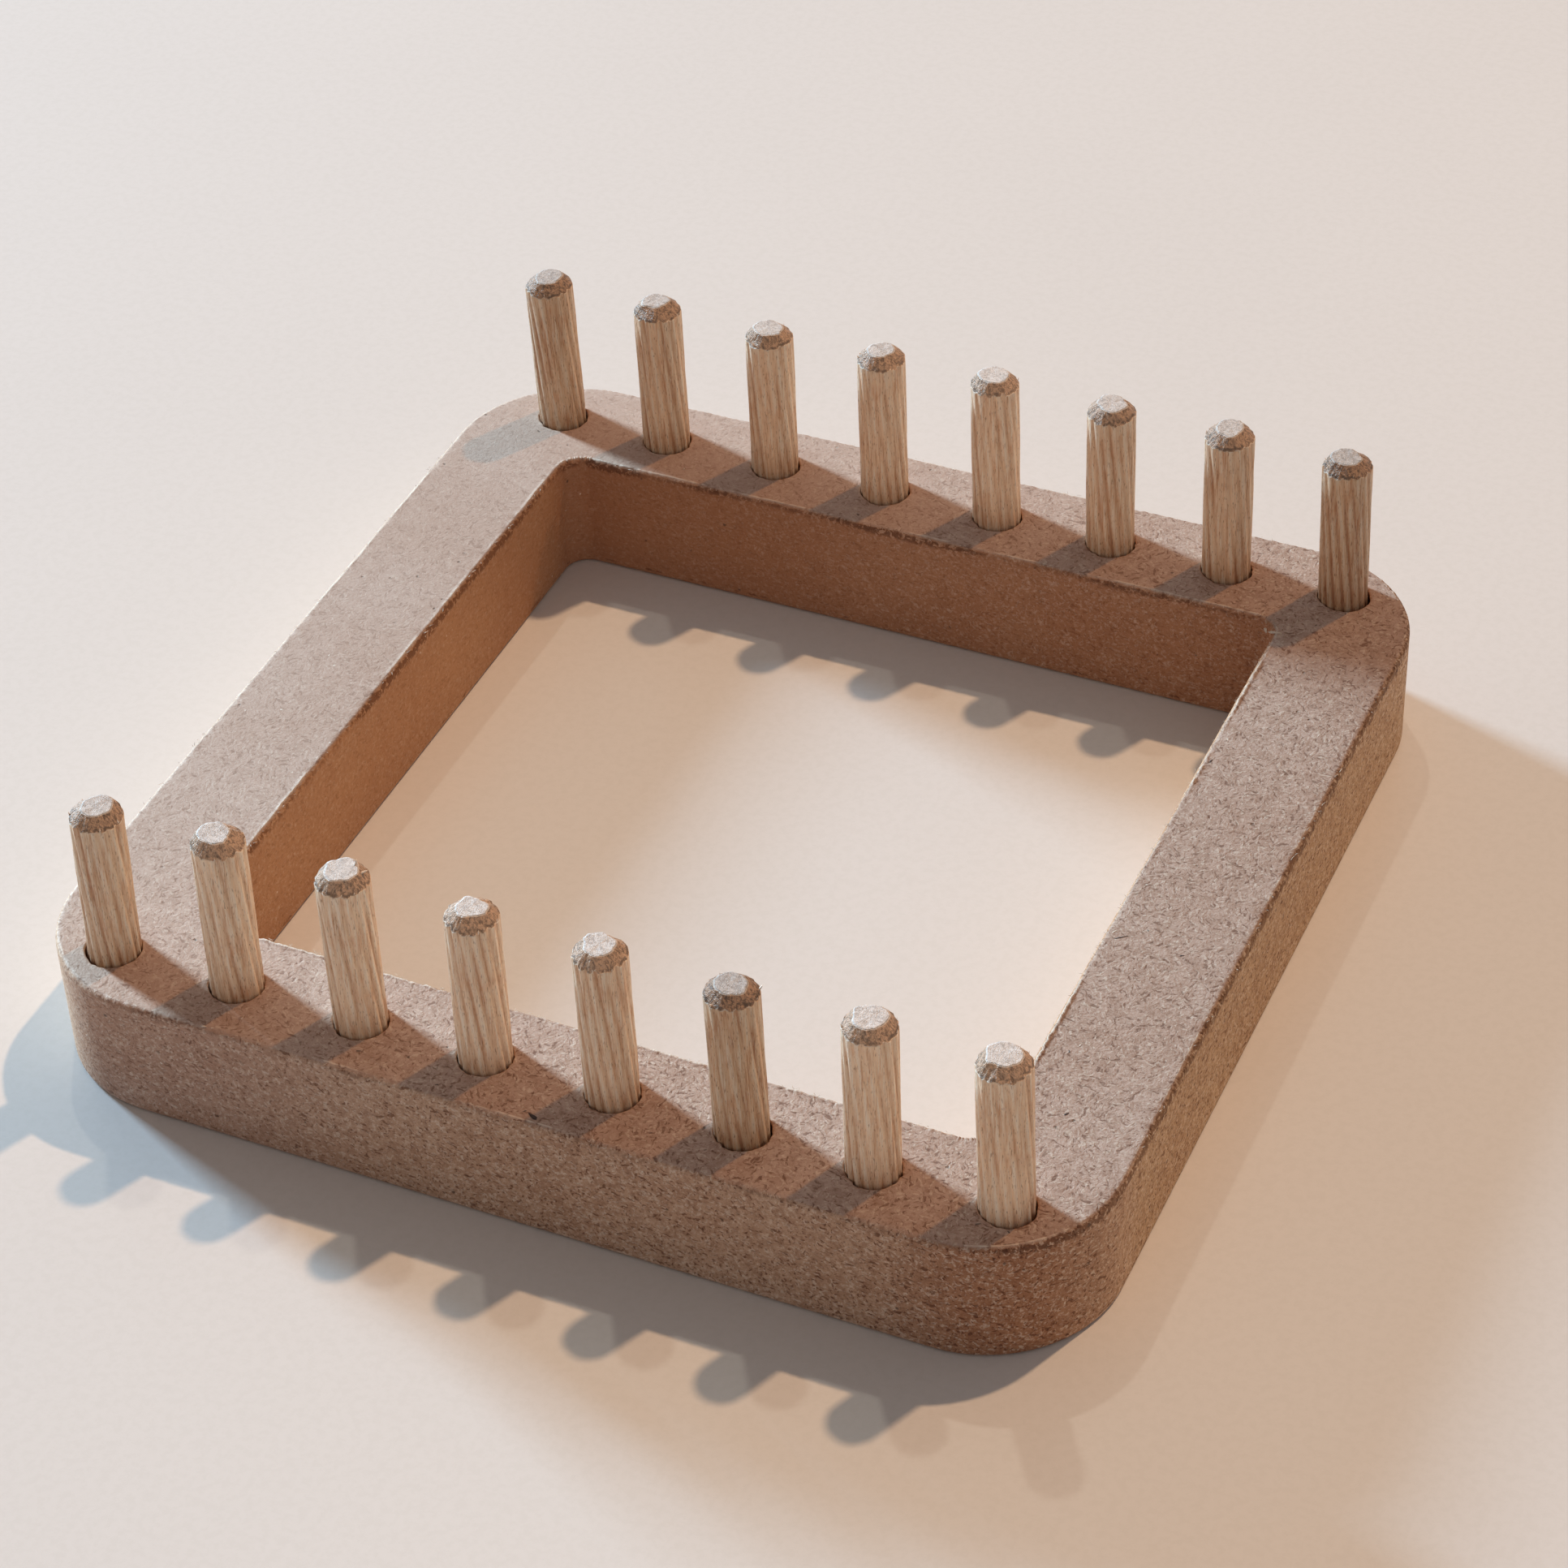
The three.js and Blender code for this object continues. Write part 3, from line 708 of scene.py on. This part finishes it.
def fibreboard_material(settings):
    """Raw fibreboard: a mat of short pale and dark fibres at several sizes, specks of bark, a soft mottle,
    browner and finer on the machined walls, with pale fluff where the edge is burred. Painted shade and warm
    light darken and warm the walls of the opening and the holes and some outer walls."""
    board = Surface("fibreboard")
    place, ramp, times = board.place, board.ramp, board.times
    wall, burr, edge, inside = map(board.read, ("wall", "burr", "edge", "inside"))
    bend = board.add("ShaderNodeTexNoise", {"Vector": place, "Scale": 1500.0, "Detail": 1.0}).outputs["Color"]
    bend = board.vector("SUBTRACT", bend, (0.5,) * 3)[0]
    bend = board.vector("MULTIPLY", bend, (0.00055,) * 3)[0]
    bent = board.vector("ADD", place, bend)[0]
    coarse = board.strokes(bent, 0.0016, 0.0015, 0.00036, 0.0)
    fine = board.strokes(bent, 0.0009, 0.0008, 0.00020, 0.31)
    pale = board.strokes(bent, 0.0013, 0.0011, 0.00032, 0.77)
    dots = board.noise(bent, 0.0005, rough=0.6)
    mottle = board.noise(bent, 0.0018, detail=3.0)
    clouds = board.noise(place, 0.018)

    # The flecks show less in the opening and at the back left, and differ from face to wall
    nearer = ramp(board.vector("DOT_PRODUCT", place, (0.9, -0.43, 0.0))["Value"], -0.085, 0.04, 0.35, 1.05)
    calm = times(ramp(inside, 0.0, 1.0, 1.0, 0.55), nearer)
    lined = times(calm, ramp(wall, 0.0, 1.0, 0.92, 1.1))

    board.colour = board.mix(wall, rgba(settings.face_colour), rgba(settings.wall_colour))
    # Painted shade and warm light: the walls of the opening and the holes are made darker and more orange.
    board.tint(inside, (0.88, 0.70, 0.52))
    board.tint(ramp(clouds, 0.3, 0.7, 0.0, 0.6), (0.90, 0.83, 0.78))
    x, y, _ = board.add("ShaderNodeSeparateXYZ", {0: place}).outputs
    for across, along, tint in (  # painted light and shade on the walls: the right wall warmer, the near right corner, the left of the near wall and the far inner wall darker
            (ramp(x, 0.0600, 0.0624), ramp(y, -0.052, -0.040), (1.0, 1.0, 0.88)),
            (ramp(x, 0.038, 0.052), ramp(y, -0.048, -0.060), (0.73, 0.56, 0.45)),
            (ramp(y, -0.056, -0.062), ramp(x, -0.010, -0.040), (0.88, 0.83, 0.86)),
            (ramp(y, 0.040, 0.0468), inside, (0.84, 0.78, 0.80))):
        board.tint(times(across, along, wall), tint)
    patchy = times(ramp(mottle, 0.42, 0.62, 0.0, 0.6), calm, ramp(wall, 0.0, 1.0, 1.0, 0.95))
    board.tint(patchy, (0.78, 0.71, 0.66))
    lighter = times(ramp(pale, 0.56, 0.68, 0.0, 0.40), ramp(wall, 0.0, 1.0, 0.95, 1.0), calm)
    board.cover(lighter, settings.fibre_colour)
    board.tint(times(ramp(dots, 0.50, 0.66, 0.0, 0.5), lined), (0.62, 0.51, 0.45))
    board.cover(times(ramp(dots, 0.44, 0.32), wall, calm, 0.45), (0.84, 0.71, 0.60))
    board.tint(times(ramp(fine, 0.59, 0.70, 0.0, 0.42), lined), (0.50, 0.39, 0.33))
    board.tint(times(ramp(coarse, 0.575, 0.68, 0.0, 0.82), lined), (0.42, 0.31, 0.255))
    # Dark torn fibres under the top arrises; the same tint is painted shade along the foot of the wall and
    # inside the holes.
    torn = times(edge, ramp(dots, 0.34, 0.58, 0.25, 1.0))
    board.tint(ramp(torn, 0.12, 0.5, 0.0, 0.85), (0.38, 0.28, 0.21))

    specks = board.cells(bent, 620.0)
    chosen = board.split(specks["Color"])
    dark = times(ramp(specks["Distance"], 0.16, 0.07), ramp(chosen[0], 0.86, 0.90))
    bright = times(ramp(specks["Distance"], 0.12, 0.05), ramp(chosen[1], 0.90, 0.93))
    board.cover(times(dark, 0.8), (0.10, 0.055, 0.035))
    board.cover(times(bright, 0.7), (0.86, 0.78, 0.70))
    board.cover(ramp(burr, 0.2, 0.9, 0.0, 0.7), settings.fibre_colour, 1.1)

    relief = board.math("ADD", times(coarse, -0.7), times(pale, 0.8))
    relief = board.math("SUBTRACT", board.math("SUBTRACT", relief, dots), dark)
    return board.finish(ramp(coarse, 0.35, 0.65, 0.62, 0.82), times(relief, calm), 0.6, 0.00011)


def fibre_material(settings):
    """Loose fibres, from pale to dark by their own shade, with a fine streak."""
    fibre = Surface("loose_fibre")
    fleck = fibre.noise(fibre.place, 0.0002, detail=1.0)
    fibre.colour = fibre.mix(fibre.read("shade"), rgba(settings.fibre_colour), rgba((0.035, 0.014, 0.010)))
    fibre.tint(fibre.ramp(fleck, 0.4, 0.7, 0.0, 0.5), (0.70, 0.60, 0.52))
    return fibre.finish(0.7, fleck, 0.4, 0.00003)


def peg_wood_material(settings):
    """Pale grooved wood: streaks and pores drawn out along the peg, darker grooves as painted shade with paler
    lands between them as painted highlight, brown open end grain in the chamfers and a pale sawn disc at each
    end, all placed by the peg's own grain."""
    wood = Surface("peg_wood")
    ramp, times, mix = wood.ramp, wood.times, wood.mix
    grain = wood.read("grain", "Vector")
    disc, chamfer, groove, rim, tone = map(wood.read, ("disc", "chamfer", "groove", "rim", "tone"))
    broad = wood.noise(grain, (1.6, 1.6, 30))
    streak = wood.noise(grain, (0.36, 0.36, 8), detail=3.0, rough=0.6)
    hair = wood.noise(grain, (0.12, 0.12, 2.4))
    pores = wood.noise(grain, (0.11, 0.11, 0.8), detail=1.0)
    blotch = wood.noise(grain, (1.1, 1.1, 3), detail=3.0)

    dark = settings.streak_colour
    wood.colour = mix(ramp(broad, 0.35, 0.65), rgba(settings.wood_colour), rgba(settings.wood_colour, 0.88))
    wood.cover(ramp(streak, 0.55, 0.68, 0.0, 0.55), dark)
    wood.cover(ramp(blotch, 0.50, 0.72, 0.0, 0.36), dark, 1.2)
    # Painted shade: the grooves darker
    wood.cover(times(ramp(groove, 0.35, 1.0, 0.0, 0.72), ramp(broad, 0.38, 0.62, 0.25, 1.0)), dark, 0.95)
    # Painted highlight: the lands between the grooves paler
    wood.cover(times(ramp(groove, 0.25, 0.03, 0.0, 0.70), ramp(streak, 0.56, 0.42)), (1.0, 0.86, 0.70))
    wood.cover(ramp(hair, 0.56, 0.72, 0.0, 0.42), dark)
    wood.cover(ramp(hair, 0.46, 0.32, 0.0, 0.45), (1.0, 0.88, 0.74))
    wood.cover(ramp(pores, 0.62, 0.72, 0.0, 0.60), dark, 0.55)

    brown, sanded = settings.end_colour, settings.disc_colour
    end_noise = wood.noise(grain, (0.30, 0.30, 0.9), detail=3.0, rough=0.65, distort=0.6)
    bruise = wood.noise(grain, 0.7, detail=3.0, distort=1.0)
    end_pores = wood.cells(grain, 4.2)["Distance"]
    end_grain = mix(ramp(end_noise, 0.40, 0.66), rgba(brown, 1.35), rgba(brown, 0.50))
    end_grain = mix(ramp(end_pores, 0.30, 0.14, 0.0, 0.6), end_grain, rgba(brown, 0.35))
    end_grain = mix(ramp(rim, 0.0, -0.8, 0.0, 0.9), end_grain, rgba(brown, 0.42))
    sawn = mix(ramp(end_noise, 0.42, 0.70), rgba(sanded, 1.15), rgba(sanded, 0.78))
    sawn = mix(ramp(bruise, 0.46, 0.62, 0.0, 0.75), sawn, rgba((0.74, 0.72, 0.71)), "MULTIPLY")
    sawn = mix(ramp(end_pores, 0.22, 0.10, 0.0, 0.5), sawn, rgba(brown, 0.8))
    ragged = wood.math("ADD", chamfer, times(wood.math("SUBTRACT", streak, 0.5), 0.8))
    wood.colour = mix(ramp(ragged, 0.35, 0.7), wood.colour, end_grain)
    wood.colour = mix(ramp(disc, 0.35, 0.8), wood.colour, sawn)
    brim = times(ramp(disc, 0.05, 0.35), ramp(disc, 0.9, 0.6), 0.6)
    wood.cover(wood.math("MAXIMUM", brim, ramp(rim, 0.2, 0.7, 0.0, 0.8)), (0.98, 0.87, 0.76))
    # The tone channel gives each peg its own lightness, and painted shade near the board
    toned = wood.add("ShaderNodeVectorMath", {0: wood.colour, 3: tone}, operation="SCALE").outputs[0]
    wood.colour = wood.add("ShaderNodeGamma", {0: toned, 1: ramp(tone, 0.5, 1.0, 1.6, 1.0)}).outputs[0]

    relief = wood.math("SUBTRACT", times(hair, -0.6), times(pores, 0.8))
    relief = wood.math("ADD", relief, times(end_noise, chamfer, -1.4))
    rough = wood.math("SUBTRACT", ramp(hair, 0.3, 0.7, 0.50, 0.68), times(chamfer, 0.12))
    return wood.finish(rough, relief, 0.8, 0.00013)


def table_material(settings):
    """A smooth pale table top with a faint blurred shine."""
    table = Surface("table_top")
    cloud = table.noise(table.place, 0.08)
    grain = table.noise(table.place, 0.0011, detail=3.0, rough=0.7)
    floor = settings.floor_colour
    table.colour = table.mix(table.ramp(cloud, 0.3, 0.7), rgba(floor), rgba(floor, 0.985))
    table.tint(table.ramp(grain, 0.4, 0.65), (0.97, 0.97, 0.965))
    return table.finish(0.33)


# Operators

# Placings
KEY = (0.77, 1.60, 3.0), (0, 0, 0), "ELLIPSE", (0.10, 0.10)
WINDOW = (-1.546, 0.547, 0.613), (0.3, -3.0, 0), "RECTANGLE", (0.31, 0.36)
BOARD_WINDOW = (-1.123, 0.333, 0.438), (0.2, -2.2, 0), "RECTANGLE", (0.22, 0.26)
RIGHT = (1.50, 0.45, 0.22), (0, 0, 0), "RECTANGLE", (0.30, 0.15)
FRONT = (-0.75, -1.15, 0.70), (0, 0, 0), "RECTANGLE", (0.40, 0.40)
SECOND = (-0.50, 0.75, 1.57), (0, 0, 0), "ELLIPSE", (0.05, 0.05)
LAMPS = (  # name, placing (place, aim, shape, size), power setting, colour, group that it lights
    ("key_lamp", KEY, "key_power", (1.0, 0.625, 0.362), ON_REST),
    ("key_lamp_on_board", KEY, "board_key_power", (1.0, 0.46, 0.13), ON_BOARD),
    ("window_light", WINDOW, "window_power", (0.51, 0.75, 0.95), ON_REST),
    ("window_light_on_board", BOARD_WINDOW, "board_window_power", (0.595, 0.84, 0.97), ON_BOARD),
    ("window_light_on_pegs", WINDOW, "peg_window_power", (0.51, 0.75, 0.95), ON_PEGS),
    ("front_lamp_on_pegs", FRONT, "front_power", (1.0, 0.76, 0.56), ON_PEGS),
    ("right_lamp_on_board", RIGHT, "right_power", (1.0, 0.62, 0.20), ON_BOARD),
    ("second_lamp", SECOND, "second_power", (1.0, 0.92, 0.78), ON_REST))
CAMERA_PLACE = (0.16232, -0.33319, 0.32198)
CAMERA_TURN, CAMERA_TILT, CAMERA_ROLL = 0.445, 0.6952, -0.0446
CAMERA_FIELD = radians(21.293)


class BuildStage(bpy.types.Operator):
    """Makes the pale table top, the soft surround, eight lamps and the camera"""
    bl_idname = "blocking_board.stage"
    bl_label = "Stage"

    def execute(self, context):
        settings = context.scene.blocking_stage
        mesh = bpy.data.meshes.new("table_top")
        mesh.from_pydata([(-4, -4, 0), (4, -4, 0), (4, 4, 0), (-4, 4, 0)], [], [(0, 1, 2, 3)])
        mesh.materials.append(table_material(settings))
        table = bpy.data.objects.new("table_top", mesh)
        context.scene.collection.objects.link(table)
        lit_by(ON_REST, table)
        self.surround(context, settings)
        for name, (place, aim, shape, size), power, colour, group in LAMPS:
            light = bpy.data.lights.new(name, "AREA")
            light.shape = shape
            light.size, light.size_y = size
            light.energy = getattr(settings, power)
            light.color = colour
            lamp = bpy.data.objects.new(name, light)
            lamp.location = place
            lamp.rotation_euler = (Vector(aim) - Vector(place)).to_track_quat("-Z", "Y").to_euler()
            context.scene.collection.objects.link(lamp)
            lamp.light_linking.receiver_collection = lit_by(group)
        self.camera(context)
        context.scene.view_settings.view_transform = "Standard"
        return {"FINISHED"}

    def surround(self, context, settings):
        """An even surround that lights softly and looks white to the camera and in reflections."""
        world = bpy.data.worlds.new("surround")
        world.use_nodes = True
        nodes = Nodes(world.node_tree)
        path = nodes.add("ShaderNodeLightPath").outputs
        seen = nodes.math("MAXIMUM", path["Is Camera Ray"], path["Is Transmission Ray"])
        colour = nodes.mix(path["Is Glossy Ray"], rgba(settings.surround), rgba((0.55, 0.54, 0.53)))
        colour = nodes.mix(seen, colour, rgba((0.93, 0.92, 0.91)))
        sky = nodes.add("ShaderNodeBackground", {"Color": colour, "Strength": 1.0})
        nodes.add("ShaderNodeOutputWorld", {"Surface": sky.outputs[0]})
        context.scene.world = world

    def camera(self, context):
        """The camera stands where the photograph was taken from."""
        turn, tilt, roll = CAMERA_TURN, CAMERA_TILT, CAMERA_ROLL
        ahead = Vector((-sin(turn) * cos(tilt), cos(turn) * cos(tilt), -sin(tilt)))
        right = Vector((cos(turn), sin(turn), 0))
        up = right.cross(ahead)
        right, up = cos(roll) * right + sin(roll) * up, cos(roll) * up - sin(roll) * right
        data = bpy.data.cameras.new("camera")
        data.sensor_fit = "HORIZONTAL"
        data.angle = CAMERA_FIELD
        data.clip_start = 0.01
        camera = bpy.data.objects.new("camera", data)
        camera.matrix_world = (Matrix.Translation(CAMERA_PLACE)
                               @ Matrix((right, up, -ahead)).transposed().to_4x4())
        context.scene.collection.objects.link(camera)
        context.scene.camera = camera


class BuildFrame(bpy.types.Operator):
    """Makes the fibreboard frame with its drilled holes, and its loose fibres"""
    bl_idname = "blocking_board.board"
    bl_label = "Frame"

    def execute(self, context):
        settings = context.scene.blocking_frame
        make_piece("fibreboard_frame", frame_skin(settings), FRAME_CHANNELS, fibreboard_material(settings),
                   "frame", "fibreboard", (BOARD,))
        make_piece("loose_fibres", loose_fibres(settings), (("shade", 1),), fibre_material(settings),
                   "frame", "fibreboard")
        return {"FINISHED"}


class BuildPegs(bpy.types.Operator):
    """Makes the sixteen grooved pegs"""
    bl_idname = "blocking_board.pegs"
    bl_label = "Pegs"

    def execute(self, context):
        settings = context.scene.blocking_pegs
        material = peg_wood_material(settings)
        for start, row in ((1, "near"), (21, "far")):
            for seed, (node, tone) in enumerate(zip(ROWS[row], TONES[row]), start):
                foot, head = peg_axis(node)
                skin = peg_skin(settings, foot, head, tone, seed, SPLINTERS.get(node, ()))
                make_piece(f"{node}_wood", skin, PEG_CHANNELS, material, node, "peg_wood", (node,))
        return {"FINISHED"}


class BlockingBoardPanel(bpy.types.Panel):
    """Lists the pieces and their sizes and colours"""
    bl_idname = "VIEW3D_PT_blocking_board"
    bl_label = "Blocking board"
    bl_space_type = "VIEW_3D"
    bl_region_type = "UI"
    bl_category = "Blocking board"

    def draw(self, context):
        for operator, group in ((BuildStage, "blocking_stage"), (BuildFrame, "blocking_frame"),
                                (BuildPegs, "blocking_pegs")):
            box = self.layout.box()
            box.operator(operator.bl_idname)
            settings = getattr(context.scene, group)
            for name in settings.bl_rna.properties.keys():
                if name not in ("rna_type", "name"):
                    box.prop(settings, name)


CLASSES = (BoardSettings, PegSettings, StageSettings, BuildStage, BuildFrame, BuildPegs, BlockingBoardPanel)


def register():
    for cls in CLASSES:
        bpy.utils.register_class(cls)
    bpy.types.Scene.blocking_frame = PointerProperty(type=BoardSettings)
    bpy.types.Scene.blocking_pegs = PointerProperty(type=PegSettings)
    bpy.types.Scene.blocking_stage = PointerProperty(type=StageSettings)


def unregister():
    del bpy.types.Scene.blocking_stage
    del bpy.types.Scene.blocking_pegs
    del bpy.types.Scene.blocking_frame
    for cls in reversed(CLASSES):
        bpy.utils.unregister_class(cls)


def main():
    register()
    bpy.ops.blocking_board.stage()
    bpy.ops.blocking_board.board()
    bpy.ops.blocking_board.pegs()


if __name__ == "__main__":
    main()
